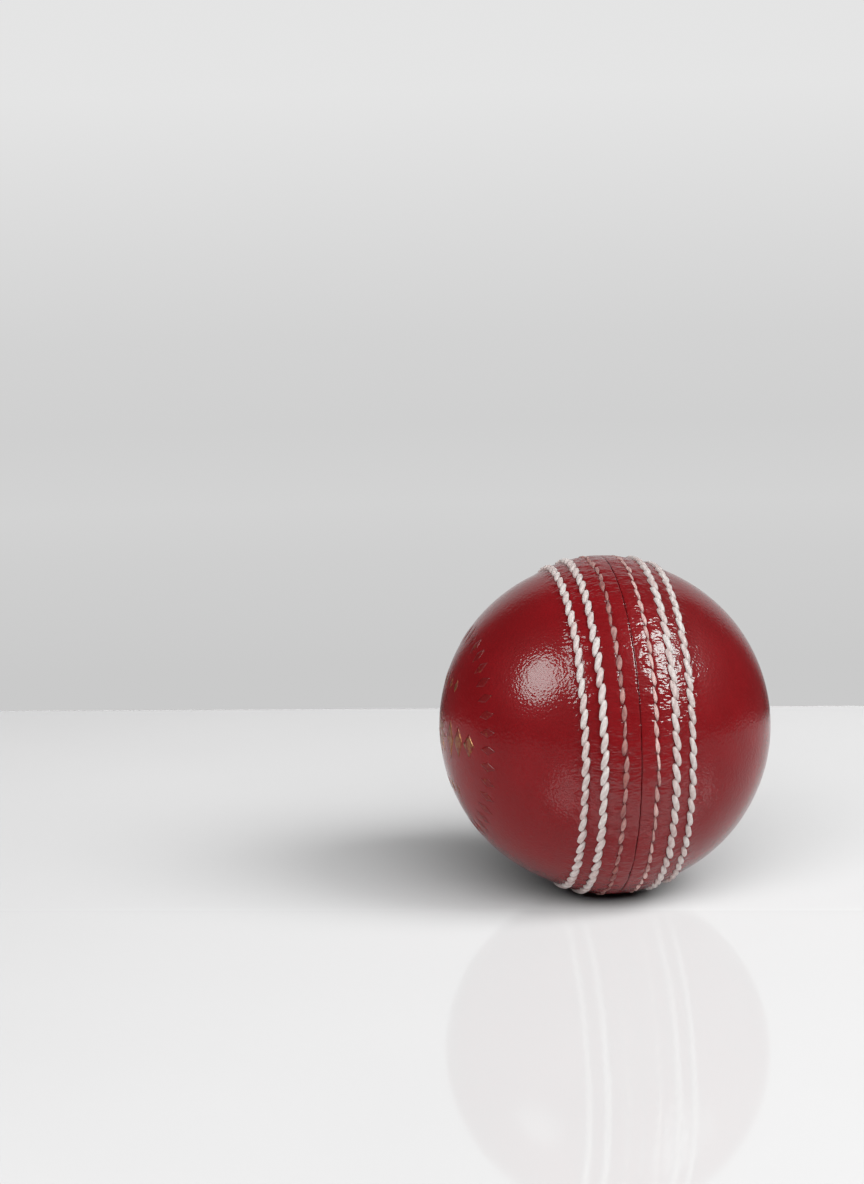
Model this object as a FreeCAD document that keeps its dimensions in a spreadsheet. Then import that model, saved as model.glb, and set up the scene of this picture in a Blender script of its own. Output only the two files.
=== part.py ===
import FreeCAD, Part
import math
import os

import Sketcher

# A hand-stitched cricket ball, in millimetres.
# The origin is the centre of the ball.  +X is square to the plane of the seam, so the seam runs
# round the YZ plane and the two polished cheeks face -X and +X.  +Z is up.
# Latitude is measured from the seam plane towards a cheek, longitude round +X from +Z.

X_AXIS = FreeCAD.Vector(1, 0, 0)
Y_AXIS = FreeCAD.Vector(0, 1, 0)
Z_AXIS = FreeCAD.Vector(0, 0, 1)
CENTRE = FreeCAD.Vector(0, 0, 0)

# Name of each driving dimension, its value, and what it sizes (millimetres and degrees).
DIMENSIONS = [
    ("cheek_radius", 36.0, "outside radius of the polished cheeks"),
    ("seam_rise", 0.8, "height of the seam crown above the cheek sphere"),
    ("crown_radius", 28.0, "radius of the crown's section, which blends into the cheeks"),
    ("leather_thickness", 3.8, "thickness of the moulded cover"),
    ("joint_gap", 0.1, "gap between the butted edges of the two cups"),
    ("nucleus_radius", 14.0, "moulded cork and rubber nucleus"),
    ("cork_thickness", 1.4, "pitch taken by one layer of cork slips"),
    ("yarn_thickness", 2.2, "pitch taken by one winding of yarn"),
    ("layer_gap", 0.1, "clearance between a layer and the one inside it"),
    ("slip_gap", 0.6, "gap between neighbouring cork slips"),
    ("bed_depth", 1.15, "depth of the belt that the crossing strands press into the yarn"),
    ("bed_half_width", 10.6, "half width of that belt, along X"),
    ("stitch_count", 66, "stitches in each of the six rows"),
    ("inner_row_angle", 5.3, "latitude of the two closing rows"),
    ("middle_row_angle", 11.9, "latitude of the two middle rows"),
    ("outer_row_angle", 18.0, "latitude of the two outer rows"),
    ("strand_radius", 0.28, "thread where it is pulled through the leather"),
    ("bead_radius", 0.5, "plump visible stitches of the middle and outer rows"),
    ("bead_span", 2.45, "length between the end centres of those stitches"),
    ("bead_lean", 0.28, "how far each end of those stitches leans off its row"),
    ("bead_height", 0.2, "height of those stitches' centres above the leather"),
    ("flat_bead_radius", 0.42, "hammered stitches of the closing rows"),
    ("flat_bead_span", 2.26, "length between the end centres of those stitches"),
    ("flat_bead_lean", 0.06, "lean of those stitches"),
    ("flat_bead_height", 0.0, "height of those stitches' centres above the leather"),
    ("seat_radius", 1.2, "section of the channel under a middle or outer row"),
    ("seat_height", 0.8, "height of that section's centre above the leather"),
    ("flat_seat_radius", 0.95, "section of the channel under a closing row"),
    ("flat_seat_height", 0.45, "height of that section's centre above the leather"),
    ("leg_offset", 0.33, "half the distance between the two strands in one hole"),
    ("flat_leg_offset", 0.42, "the same in the mouth of a closing tunnel"),
    ("hole_radius", 0.62, "stitch hole of the middle and outer rows"),
    ("tunnel_radius", 0.74, "slanting stitch tunnel of the closing rows"),
    ("tunnel_depth", 2.25, "depth of the tunnels' mouths below the crown, on the joint face"),
    ("strand_pitch", 0.62, "distance between the two strands where they cross"),
    ("flat_strand_pitch", 0.9, "the same where the closing strands cross in the joint"),
    ("crossing_depth", 0.35, "depth of the upper crossing strand below the cover's inside"),
    ("foil_depth", 0.08, "depth of the pressed recesses that hold the foil"),
    ("foil_thickness", 0.05, "thickness of the foil"),
    ("mark_count", 36, "narrow lozenges in the ring on the cheek"),
    ("mark_ring_radius", 21.0, "radius of that ring about the X axis"),
    ("mark_length", 3.6, "length of a narrow lozenge, along the ring's radius"),
    ("mark_width", 2.0, "width of a narrow lozenge"),
    ("star_radius", 5.0, "centre to point of the eight-pointed star"),
    ("star_waist", 2.2, "centre to notch of the star"),
    ("star_eye", 0.9, "radius of the plain leather left in the middle of the star"),
    ("lozenge_width", 3.6, "width of the lozenges beside the star"),
    ("lozenge_height", 8.4, "height of the lozenge next to the star"),
    ("lozenge_taper", 1.7, "how much lower each lozenge is than the one before it"),
    ("lozenge_start", 7.6, "distance from the star's centre to the first lozenge's"),
    ("lozenge_spacing", 4.0, "distance from one of these lozenges to the next"),
    ("seed_width", 1.8, "width of the small lozenges above and below the star"),
    ("seed_height", 2.6, "height of the small lozenges"),
    ("seed_spacing", 3.4, "distance from one small lozenge to the next"),
    ("seed_row_height", 11.2, "distance of their rows from the star's centre"),
]

LAYER_COUNT = 5

# Where each pair of rows has its first stitch hole, as a part of one stitch: the pairs are
# staggered so that their strands pass each other under the joint.
CLOSING_PHASE = 0.25
MIDDLE_PHASE = 0.0
OUTER_PHASE = 0.5

doc = FreeCAD.newDocument("CricketBall")
sheet = doc.addObject("Spreadsheet::Sheet", "Sizes")
for row, (alias, value, meaning) in enumerate(DIMENSIONS, start=1):
    sheet.set(f"A{row}", meaning)
    sheet.set(f"B{row}", str(value))
    sheet.setAlias(f"B{row}", alias)
doc.recompute()


def size(alias):
    """Value of one driving dimension, for places worked out in code."""
    return float(getattr(sheet, alias))


def on_ball(latitude, longitude, radius):
    """Point at a latitude and longitude in degrees and a distance from the ball's centre."""
    lat = math.radians(latitude)
    lon = math.radians(longitude)
    ring = radius * math.cos(lat)
    return FreeCAD.Vector(radius * math.sin(lat), -ring * math.sin(lon), ring * math.cos(lon))


def crown_offset():
    """Distance of the crown section's centre from the X axis."""
    return size("cheek_radius") + size("seam_rise") - size("crown_radius")


def crown_surface(latitude):
    """Distance from the ball's centre to the leather of the crown at a latitude."""
    lat = math.radians(latitude)
    offset = crown_offset()
    reach = math.sqrt(size("crown_radius") ** 2 - (offset * math.sin(lat)) ** 2)
    return offset * math.cos(lat) + reach


# --- Primitives -----------------------------------------------------------------------------

def sphere(name, radius_expression, centre=CENTRE):
    ball = doc.addObject("Part::Sphere", name)
    ball.setExpression("Radius", radius_expression)
    ball.Placement = FreeCAD.Placement(centre, FreeCAD.Rotation())
    return ball


def rod(name, radius_expression, start, end):
    """Round rod between two points."""
    run = end - start
    pole = doc.addObject("Part::Cylinder", name)
    pole.setExpression("Radius", radius_expression)
    pole.Height = run.Length
    pole.Placement = FreeCAD.Placement(start, FreeCAD.Rotation(Z_AXIS, run))
    return pole


def great_arc(name, radius_expression, start, end):
    """Round strand along the great circle between two points at the same distance out."""
    normal = start.cross(end)
    turn = FreeCAD.Rotation(start, normal.cross(start), normal, "ZXY")
    arc = doc.addObject("Part::Torus", name)
    arc.Radius1 = start.Length
    arc.setExpression("Radius2", radius_expression)
    arc.Angle3 = math.degrees(start.getAngle(end))
    arc.Placement = FreeCAD.Placement(CENTRE, turn)
    return arc


def fuse(name, pieces):
    union = doc.addObject("Part::MultiFuse", name)
    union.Shapes = pieces
    return union


def cut(name, base, tool):
    result = doc.addObject("Part::Cut", name)
    result.Base = base
    result.Tool = tool
    return result


def named(piece, label):
    """Gives a sub-part the label that names its file."""
    piece.Label = label
    return piece


# --- Core: nucleus, cork slips and yarn windings ----------------------------------------------

def spherical_shell(name, inner_expression, outer_expression):
    outside = sphere(name + "_outside", outer_expression)
    inside = sphere(name + "_inside", inner_expression)
    return cut(name, outside, inside)


def slip_slits():
    """Three crossed slabs that part a cork shell into eight curved slips."""
    slabs = []
    reach = 2 * size("cheek_radius")
    for axis in ("x", "y", "z"):
        slab = doc.addObject("Part::Box", "slit_" + axis)
        thin = {"x": "Length", "y": "Width", "z": "Height"}[axis]
        corner = FreeCAD.Vector(-reach / 2, -reach / 2, -reach / 2)
        setattr(corner, axis, -size("slip_gap") / 2)
        slab.Length = slab.Width = slab.Height = reach
        slab.setExpression(thin, "Sizes.slip_gap")
        slab.Placement = FreeCAD.Placement(corner, FreeCAD.Rotation())
        slabs.append(slab)
    return fuse("slip_slits", slabs)


def layer_expression(layer, part, gap):
    """Expression for a radius inside the core: whole layers below, then part of this one."""
    return (f"Sizes.nucleus_radius + {layer} * (Sizes.cork_thickness + Sizes.yarn_thickness)"
            f" + {part} * Sizes.cork_thickness + {gap} * Sizes.layer_gap")


def cork_layer(layer, slits):
    """Eight curved slips; each layer is turned so that its joints miss those below it."""
    shell = spherical_shell(f"cork_shell_{layer + 1}", layer_expression(layer, 0, 1),
                            layer_expression(layer, 1, 0))
    slips = cut(f"cork_slips_{layer + 1}", shell, slits)
    tilt = FreeCAD.Rotation(FreeCAD.Vector(1, 1, 1), 40.0 * layer + 15.0)
    slips.Placement = FreeCAD.Placement(CENTRE, tilt)
    return named(slips, f"cork_layer_{layer + 1}")


def yarn_winding(layer):
    winding = spherical_shell(f"yarn_shell_{layer + 1}", layer_expression(layer, 1, 1),
                              layer_expression(layer + 1, 0, 0))
    return named(winding, f"yarn_winding_{layer + 1}")


def bedded_winding(layer):
    """Outermost winding, with the belt that the crossing strands press into it."""
    top = layer_expression(layer + 1, 0, 0)
    winding = spherical_shell("bedded_shell", layer_expression(layer, 1, 1), top)
    width = size("bed_half_width")
    belt = rod("belt", "Sizes.cheek_radius", X_AXIS * -width, X_AXIS * width)
    floor = sphere("belt_floor", top + " - Sizes.bed_depth")
    bedded = cut("bedded_winding", winding, cut("belt_ring", belt, floor))
    return named(bedded, f"yarn_winding_{layer + 1}")


# --- Thread -----------------------------------------------------------------------------------

def bead(name, kind, latitude, side, hole):
    """Visible stitch that spans from one hole to the next, leaning away from the joint."""
    prefix = "" if kind == "plump" else "flat_"
    pitch = 360.0 / size("stitch_count")
    radius = crown_surface(latitude) + size(prefix + "bead_height")
    ring = radius * math.cos(math.radians(latitude))
    half_span = math.degrees(size(prefix + "bead_span") / 2 / ring)
    lean = math.degrees(size(prefix + "bead_lean") / radius)
    middle = (hole + 0.5) * pitch
    start = on_ball(side * (latitude - lean), middle - half_span, radius)
    end = on_ball(side * (latitude + lean), middle + half_span, radius)
    thickness = f"Sizes.{prefix}bead_radius"
    return fuse(name, [rod(name + "_body", thickness, start, end),
                       sphere(name + "_start", thickness, start),
                       sphere(name + "_end", thickness, end)])


def leg_points(latitude, hole, offset, radius):
    """Where a strand passes the left hole, behind its middle, and the right hole, ahead of it."""
    pitch = 360.0 / size("stitch_count")
    ring = crown_surface(latitude) * math.cos(math.radians(latitude))
    swing = math.degrees(offset / ring)
    return (on_ball(-latitude, hole * pitch - swing, radius),
            on_ball(latitude, hole * pitch + swing, radius))


def under_strand(name, latitude, hole, lead, crossing_radius):
    """Strand that goes down one hole, under both cups and up the hole opposite."""
    thickness = "Sizes.strand_radius"
    outer = crown_surface(latitude) + size("bead_height")
    offset = lead * size("leg_offset")
    low_left, low_right = leg_points(latitude, hole, offset, crossing_radius)
    top_left, top_right = leg_points(latitude, hole, offset, outer)
    return fuse(name, [rod(name + "_left", thickness, low_left, top_left),
                       rod(name + "_right", thickness, low_right, top_right),
                       great_arc(name + "_under", thickness, low_left, low_right),
                       sphere(name + "_turn_left", thickness, low_left),
                       sphere(name + "_turn_right", thickness, low_right)])


def edge_strand(name, latitude, hole, lead, crossing_radius):
    """Strand of a closing stitch, which slants through the thickness of both leather edges."""
    thickness = "Sizes.strand_radius"
    outer = crown_surface(latitude) + size("flat_bead_height")
    top_left, top_right = leg_points(latitude, hole, lead * size("flat_leg_offset"), outer)
    meeting = on_ball(0.0, hole * 360.0 / size("stitch_count"), crossing_radius)
    return fuse(name, [rod(name + "_left", thickness, meeting, top_left),
                       rod(name + "_right", thickness, meeting, top_right),
                       sphere(name + "_turn", thickness, meeting)])


def thread_unit(name, kind, latitude, first_hole, strand, upper_radius, lower_radius):
    """Two stitches of one thread: cross over, stitch on the right, cross back, on the left."""
    return fuse(name, [strand(name + "_over", latitude, first_hole, 1, upper_radius),
                       bead(name + "_right_bead", kind, latitude, 1, first_hole),
                       strand(name + "_back", latitude, first_hole + 1, -1, lower_radius),
                       bead(name + "_left_bead", kind, latitude, -1, first_hole + 1)])


def saddle_threads(name, kind, latitude, first_hole, strand, upper_radius, lower_radius):
    """The two threads of one saddle-stitched pair of rows, each a closed loop round the ball."""
    unit = thread_unit(name + "_unit", kind, latitude, first_hole, strand,
                       upper_radius, lower_radius)
    doc.recompute()
    pitch = 360.0 / size("stitch_count")
    copies = []
    for repeat in range(int(size("stitch_count")) // 2):
        copy = unit.Shape.copy()
        copy.rotate(CENTRE, X_AXIS, 2 * pitch * repeat)
        copies.append(copy)
    loop = copies[0].multiFuse(copies[1:])
    if len(loop.Solids) == 1:
        loop = loop.Solids[0]
    threads = []
    for letter, turn in (("a", 0.0), ("b", pitch)):
        thread = doc.addObject("Part::Feature", f"{name}_{letter}")
        thread.Shape = loop
        thread.Placement = FreeCAD.Placement(CENTRE, FreeCAD.Rotation(X_AXIS, turn))
        threads.append(named(thread, f"{name}_{letter}"))
    return threads


# --- Leather cups -----------------------------------------------------------------------------

def origin_plane(body, role):
    for feature in body.Origin.OriginFeatures:
        if feature.Role == role:
            return feature
    raise ValueError("no origin plane " + role)


def body_sketch(body, name):
    sketch = body.newObject("Sketcher::SketchObject", name)
    sketch.AttachmentSupport = [(origin_plane(body, "XY_Plane"), "")]
    sketch.MapMode = "FlatFace"
    return sketch


def flat(point_x, point_y):
    return FreeCAD.Vector(point_x, point_y, 0)


def cup_profile(body, name):
    """Half section of a cup: cheek arc, crown arc, joint face and inside arc, closed on X."""
    outer = size("cheek_radius")
    inner = outer - size("leather_thickness")
    crown = size("crown_radius")
    offset = crown_offset()
    half_gap = size("joint_gap") / 2
    meet_y = (outer ** 2 - crown ** 2 + offset ** 2) / (2 * offset)
    meet_x = math.sqrt(outer ** 2 - meet_y ** 2)
    edge_top = offset + math.sqrt(crown ** 2 - half_gap ** 2)
    edge_low = math.sqrt(inner ** 2 - half_gap ** 2)

    def arc(centre_y, radius, start, end):
        first = math.atan2(start.y - centre_y, start.x)
        last = math.atan2(end.y - centre_y, end.x)
        circle = Part.Circle(flat(0, centre_y), Z_AXIS, radius)
        return Part.ArcOfCircle(circle, min(first, last), max(first, last))

    pole = flat(outer, 0)
    meet = flat(meet_x, meet_y)
    edge = flat(half_gap, edge_top)
    foot = flat(half_gap, edge_low)
    inside_pole = flat(inner, 0)
    sketch = body_sketch(body, name)
    sketch.addGeometry(arc(0, outer, pole, meet), False)
    sketch.addGeometry(arc(offset, crown, meet, edge), False)
    sketch.addGeometry(Part.LineSegment(edge, foot), False)
    sketch.addGeometry(arc(0, inner, foot, inside_pole), False)
    sketch.addGeometry(Part.LineSegment(inside_pole, pole), False)
    # An arc's point 1 is its start and 2 its end, counted anticlockwise; 3 is its centre.
    joins = [(0, 2, 1, 1), (1, 2, 2, 1), (2, 2, 3, 2), (3, 1, 4, 1), (4, 2, 0, 1)]
    for one, one_point, other, other_point in joins:
        sketch.addConstraint(Sketcher.Constraint("Coincident", one, one_point, other, other_point))
    sketch.addConstraint(Sketcher.Constraint("Coincident", 0, 3, -1, 1))
    sketch.addConstraint(Sketcher.Constraint("Coincident", 3, 3, -1, 1))
    sketch.addConstraint(Sketcher.Constraint("PointOnObject", 1, 3, -2))
    sketch.addConstraint(Sketcher.Constraint("PointOnObject", 4, 1, -1))
    sketch.addConstraint(Sketcher.Constraint("PointOnObject", 4, 2, -1))
    sketch.addConstraint(Sketcher.Constraint("Vertical", 2))
    driven = [
        (Sketcher.Constraint("Radius", 0, outer), "Sizes.cheek_radius"),
        (Sketcher.Constraint("Radius", 1, crown), "Sizes.crown_radius"),
        (Sketcher.Constraint("Radius", 3, inner),
         "Sizes.cheek_radius - Sizes.leather_thickness"),
        (Sketcher.Constraint("DistanceY", -1, 1, 1, 3, offset),
         "Sizes.cheek_radius + Sizes.seam_rise - Sizes.crown_radius"),
        (Sketcher.Constraint("DistanceX", -1, 1, 2, 1, half_gap), "Sizes.joint_gap / 2"),
    ]
    for constraint, expression in driven:
        index = sketch.addConstraint(constraint)
        sketch.setExpression(f"Constraints[{index}]", expression)
    return sketch


def seat_ring(name, alias, prefix):
    """Ring that leaves the channel one row of stitches lies in."""
    latitude = size(alias + "_row_angle")
    radius = crown_surface(latitude) + size(prefix + "seat_height")
    centre = on_ball(latitude, 0.0, radius)
    ring = doc.addObject("Part::Torus", name)
    ring.Radius1 = centre.z
    ring.setExpression("Radius2", f"Sizes.{prefix}seat_radius")
    ring.Placement = FreeCAD.Placement(X_AXIS * centre.x, FreeCAD.Rotation(Z_AXIS, X_AXIS))
    return ring


def ring_of_pins(name, pin):
    """One pin for every stitch, copied round the ball."""
    doc.recompute()
    pitch = 360.0 / size("stitch_count")
    pins = []
    for hole in range(int(size("stitch_count"))):
        copy = pin.Shape.copy()
        copy.rotate(CENTRE, X_AXIS, pitch * hole)
        pins.append(copy)
    ring = doc.addObject("Part::Feature", name)
    ring.Shape = Part.makeCompound(pins)
    return ring


def straight_hole(name, alias, phase):
    """Pin for the first hole of a row, square to the leather and right through it."""
    longitude = phase * 360.0 / size("stitch_count")
    latitude = size(alias + "_row_angle")
    inner = size("cheek_radius") - size("leather_thickness")
    outer = size("cheek_radius") + size("seam_rise")
    return rod(name, "Sizes.hole_radius", on_ball(latitude, longitude, inner - 1.0),
               on_ball(latitude, longitude, outer + 1.0))


def slanting_hole(name, phase):
    """Pin for the first closing hole, from the channel down to the middle of the joint face."""
    longitude = phase * 360.0 / size("stitch_count")
    latitude = size("inner_row_angle")
    crown = size("cheek_radius") + size("seam_rise")
    mouth = on_ball(0.0, longitude, crown - size("tunnel_depth"))
    slope = on_ball(latitude, longitude, crown_surface(latitude)) - mouth
    return rod(name, "Sizes.tunnel_radius", mouth - slope * 0.1, mouth + slope * 1.25)


def leather_cup():
    """Moulded half cover on the +X side: turned shell, stitch channels and stitch holes."""
    body = doc.addObject("PartDesign::Body", "cup_body")
    shell = body.newObject("PartDesign::Revolution", "cup_shell")
    shell.Profile = cup_profile(body, "cup_profile")
    shell.ReferenceAxis = (shell.Profile[0], ["H_Axis"])
    shell.Angle = 360.0
    doc.recompute()
    tools = [
        seat_ring("inner_seat", "inner", "flat_"),
        seat_ring("middle_seat", "middle", ""),
        seat_ring("outer_seat", "outer", ""),
        ring_of_pins("middle_holes", straight_hole("middle_pin", "middle", MIDDLE_PHASE)),
        ring_of_pins("outer_holes", straight_hole("outer_pin", "outer", OUTER_PHASE)),
        ring_of_pins("closing_holes", slanting_hole("closing_pin", CLOSING_PHASE)),
    ]
    cup = body
    for tool in tools:
        before = cup.Shape.Volume
        cup = cut("cup_without_" + tool.Name, cup, tool)
        doc.recompute()
        removed = before - cup.Shape.Volume
        print(tool.Name, "removes", round(removed, 1), "mm3")
        if removed <= 0.0:
            raise RuntimeError(tool.Name + " cuts nothing")
    return cup


def mirrored(name, source):
    other = doc.addObject("Part::Mirroring", name)
    other.Source = source
    other.Normal = X_AXIS
    return other


# --- Foil ornament ----------------------------------------------------------------------------

def cheek_prism(name, centre, corners, angle=0.0):
    """Flat figure on the YZ plane, pushed along -X through the left cheek. Its centre and corners
    are (across, up) pairs, and angle turns it about its centre, in degrees."""
    turn = math.radians(angle)
    outline = []
    for across, up in corners + corners[:1]:
        outline.append(FreeCAD.Vector(
            0,
            centre[0] + across * math.cos(turn) + up * math.sin(turn),
            centre[1] + up * math.cos(turn) - across * math.sin(turn)))
    prism = doc.addObject("Part::Feature", name)
    prism.Shape = Part.Face(Part.makePolygon(outline)).extrude(X_AXIS * -size("cheek_radius"))
    return prism


def lozenge(name, centre, width, height, angle=0.0):
    corners = [(0, height / 2), (width / 2, 0), (0, -height / 2), (-width / 2, 0)]
    return cheek_prism(name, centre, corners, angle)


def star():
    """Eight-pointed star with an open eye."""
    corners = []
    for corner in range(16):
        radius = size("star_radius") if corner % 2 == 0 else size("star_waist")
        angle = math.radians(corner * 22.5)
        corners.append((radius * math.sin(angle), radius * math.cos(angle)))
    eye = rod("star_eye", "Sizes.star_eye", CENTRE, X_AXIS * -(size("cheek_radius") + 1))
    return cut("open_star", cheek_prism("star", (0, 0), corners), eye)


def mark_ring():
    """Ring of narrow lozenges that point at the axis."""
    marks = []
    count = int(size("mark_count"))
    for index in range(count):
        angle = 360.0 * index / count
        centre = (size("mark_ring_radius") * math.sin(math.radians(angle)),
                  size("mark_ring_radius") * math.cos(math.radians(angle)))
        marks.append(lozenge(f"mark_{index + 1}", centre, size("mark_width"),
                             size("mark_length"), angle))
    return marks


def lozenge_rows():
    """Three tapering lozenges on each side of the star, and five small ones above and below."""
    lozenges = []
    for side in (-1, 1):
        for step in range(3):
            centre = (side * (size("lozenge_start") + step * size("lozenge_spacing")), 0)
            height = size("lozenge_height") - step * size("lozenge_taper")
            lozenges.append(lozenge(f"lozenge_{side}_{step}", centre, size("lozenge_width"), height))
        for step in range(-2, 3):
            centre = (step * size("seed_spacing"), side * size("seed_row_height"))
            lozenges.append(lozenge(f"seed_{side}_{step}", centre, size("seed_width"),
                                    size("seed_height")))
    return lozenges


def common(name, base, tool):
    result = doc.addObject("Part::Common", name)
    result.Base = base
    result.Tool = tool
    return result


def foil_and_recess():
    """The foil, and the tool that presses its recesses into the leather."""
    ornament = doc.addObject("Part::Compound", "ornament")
    ornament.Links = [star()] + mark_ring() + lozenge_rows()
    floor = "Sizes.cheek_radius - Sizes.foil_depth"
    leaf = spherical_shell("foil_leaf", floor, floor + " + Sizes.foil_thickness")
    press = spherical_shell("foil_press", floor, "Sizes.cheek_radius + 1")
    foil = named(common("foil", leaf, ornament), "foil_stamp")
    return foil, common("recess", press, ornament)


# --- Assembly ---------------------------------------------------------------------------------

def build():
    parts = [named(sphere("nucleus_ball", "Sizes.nucleus_radius"), "nucleus")]
    slits = slip_slits()
    for layer in range(LAYER_COUNT):
        parts.append(cork_layer(layer, slits))
        if layer < LAYER_COUNT - 1:
            parts.append(yarn_winding(layer))
        else:
            parts.append(bedded_winding(layer))

    upper = size("cheek_radius") - size("leather_thickness") - size("crossing_depth")
    lower = upper - size("strand_pitch")
    meeting = size("cheek_radius") + size("seam_rise") - size("tunnel_depth")
    half_pitch = size("flat_strand_pitch") / 2
    parts += saddle_threads("closing_thread", "flat", size("inner_row_angle"), CLOSING_PHASE,
                            edge_strand, meeting + half_pitch, meeting - half_pitch)
    parts += saddle_threads("middle_thread", "plump", size("middle_row_angle"), MIDDLE_PHASE,
                            under_strand, upper, lower)
    parts += saddle_threads("outer_thread", "plump", size("outer_row_angle"), OUTER_PHASE,
                            under_strand, upper, lower)

    right_cup = leather_cup()
    foil, recess = foil_and_recess()
    left_cup = cut("left_cup", mirrored("left_blank", right_cup), recess)
    parts += [foil, named(left_cup, "leather_cup_left"), named(right_cup, "leather_cup_right")]
    doc.recompute()
    return parts


def check(parts):
    """Stops the build when any object failed or any sub-part has no sound shape."""
    for item in doc.Objects:
        if "Invalid" in item.State or "Error" in item.State:
            raise RuntimeError(f"{item.Label} did not compute: {item.State}")
    for part in parts:
        if part.Shape.isNull() or not part.Shape.isValid():
            raise RuntimeError(f"{part.Label} has no valid shape")


def export(parts):
    os.makedirs("parts", exist_ok=True)
    for part in parts:
        part.Shape.exportStep(f"parts/{part.Label}.step")
        print(part.Label, len(part.Shape.Solids), "solids", round(part.Shape.Volume, 1), "mm3")


sub_parts = build()
check(sub_parts)
export(sub_parts)
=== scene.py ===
import math

import bpy
import numpy as np
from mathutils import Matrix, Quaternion, Vector


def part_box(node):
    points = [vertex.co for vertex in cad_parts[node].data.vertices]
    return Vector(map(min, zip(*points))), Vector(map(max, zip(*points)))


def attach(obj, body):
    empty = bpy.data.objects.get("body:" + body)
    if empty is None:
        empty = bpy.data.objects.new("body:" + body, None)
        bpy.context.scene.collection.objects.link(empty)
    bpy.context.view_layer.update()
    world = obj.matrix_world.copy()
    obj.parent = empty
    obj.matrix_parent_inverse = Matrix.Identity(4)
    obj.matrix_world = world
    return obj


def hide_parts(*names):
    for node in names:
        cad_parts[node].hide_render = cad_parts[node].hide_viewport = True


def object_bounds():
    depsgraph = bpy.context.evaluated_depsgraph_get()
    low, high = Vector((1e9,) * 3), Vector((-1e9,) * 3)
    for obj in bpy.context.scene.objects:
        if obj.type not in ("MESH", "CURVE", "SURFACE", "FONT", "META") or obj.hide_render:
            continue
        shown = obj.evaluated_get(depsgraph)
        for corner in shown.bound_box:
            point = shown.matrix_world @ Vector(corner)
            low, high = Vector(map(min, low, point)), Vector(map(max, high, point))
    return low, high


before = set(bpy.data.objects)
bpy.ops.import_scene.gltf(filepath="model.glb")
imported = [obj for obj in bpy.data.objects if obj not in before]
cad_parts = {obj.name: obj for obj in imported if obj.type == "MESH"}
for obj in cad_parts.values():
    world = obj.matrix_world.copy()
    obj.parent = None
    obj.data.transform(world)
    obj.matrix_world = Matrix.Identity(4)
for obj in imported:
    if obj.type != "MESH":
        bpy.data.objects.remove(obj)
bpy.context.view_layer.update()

# --- The ball's own sizes, in millimetres, worked out from the frame where it has them ----------
# Latitude is measured in degrees from the seam plane towards a cheek, longitude round +X from +Z.

MM = 0.001
CHEEK_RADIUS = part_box("leather_cup_right")[1].x / MM
CROWN_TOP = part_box("leather_cup_right")[1].z / MM
CORE_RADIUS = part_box("yarn_winding_5")[1].x / MM
LINING_GAP = 0.2
LINING_RADIUS = CORE_RADIUS + LINING_GAP
JOINT_HALF_GAP = 0.05
CROWN_SECTION = 28.0
CROWN_OFFSET = CROWN_TOP - CROWN_SECTION
CROWN_BLEND = 0.08
CROWN_REACH = 1.2  # radians; far past the seam, where the crown lies under the cheek

STITCHES = 66
PITCH = 360.0 / STITCHES
ROWS = {
    "closing": {"latitude": 5.3, "phase": 0.25},
    "middle": {"latitude": 11.9, "phase": 0.0},
    "outer": {"latitude": 18.0, "phase": 0.5},
}

# Each noise has a seed of its own. The cups add their side to it, and each pair of rows its number.
SEEDS = {"crack": 11, "crease": 21, "fine_crease": 31, "wave": 41, "ripple": 51, "strength": 61,
         "thread_a": 100, "thread_b": 200}


# --- Small tools --------------------------------------------------------------------------------

def on_ball(latitude, longitude, radius):
    """Points at latitudes and longitudes in degrees and distances in millimetres."""
    lat = np.radians(latitude)
    lon = np.radians(longitude)
    ring = radius * np.cos(lat)
    return np.stack(np.broadcast_arrays(radius * np.sin(lat), -ring * np.sin(lon),
                                        ring * np.cos(lon)), axis=-1)


def crown(latitude):
    """Distance of the smooth leather from the centre: the crown, blended into the cheeks."""
    lat = np.radians(np.abs(latitude))
    aside = CROWN_OFFSET * np.sin(np.minimum(lat, CROWN_REACH))
    reach = np.sqrt(CROWN_SECTION ** 2 - aside ** 2)
    rise = CROWN_OFFSET * np.cos(lat) + reach - CHEEK_RADIUS
    return CHEEK_RADIUS + 0.5 * (rise + np.sqrt(rise ** 2 + CROWN_BLEND ** 2))


def smooth_step(low, high, value):
    """0 below low, 1 above high, and a smooth climb between them."""
    share = np.clip((value - low) / (high - low), 0.0, 1.0)
    return share * share * (3.0 - 2.0 * share)


def bell(distance, width):
    """1 at no distance, falling away smoothly over about the width."""
    return np.exp(-0.5 * (distance / width) ** 2)


NOISE_TABLE = 4096
NOISE_KEYS = (73856093, 19349663, 83492791)  # large primes that scatter neighbouring cells


def value_noise(points, cell, seed):
    """Smooth noise from -1 to 1 through space, with features about one cell across."""
    table = np.random.default_rng(seed).uniform(-1.0, 1.0, NOISE_TABLE)
    scaled = points / cell
    base = np.floor(scaled).astype(np.int64)
    part = scaled - base
    part = part * part * (3.0 - 2.0 * part)
    total = np.zeros(points.shape[:-1])
    for corner in range(8):
        step = np.array([corner & 1, (corner >> 1) & 1, (corner >> 2) & 1])
        mixed = (base + step) * NOISE_KEYS
        key = (mixed[..., 0] ^ mixed[..., 1] ^ mixed[..., 2]) % NOISE_TABLE
        weight = np.prod(np.where(step == 1, part, 1.0 - part), axis=-1)
        total += weight * table[key]
    return total


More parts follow.
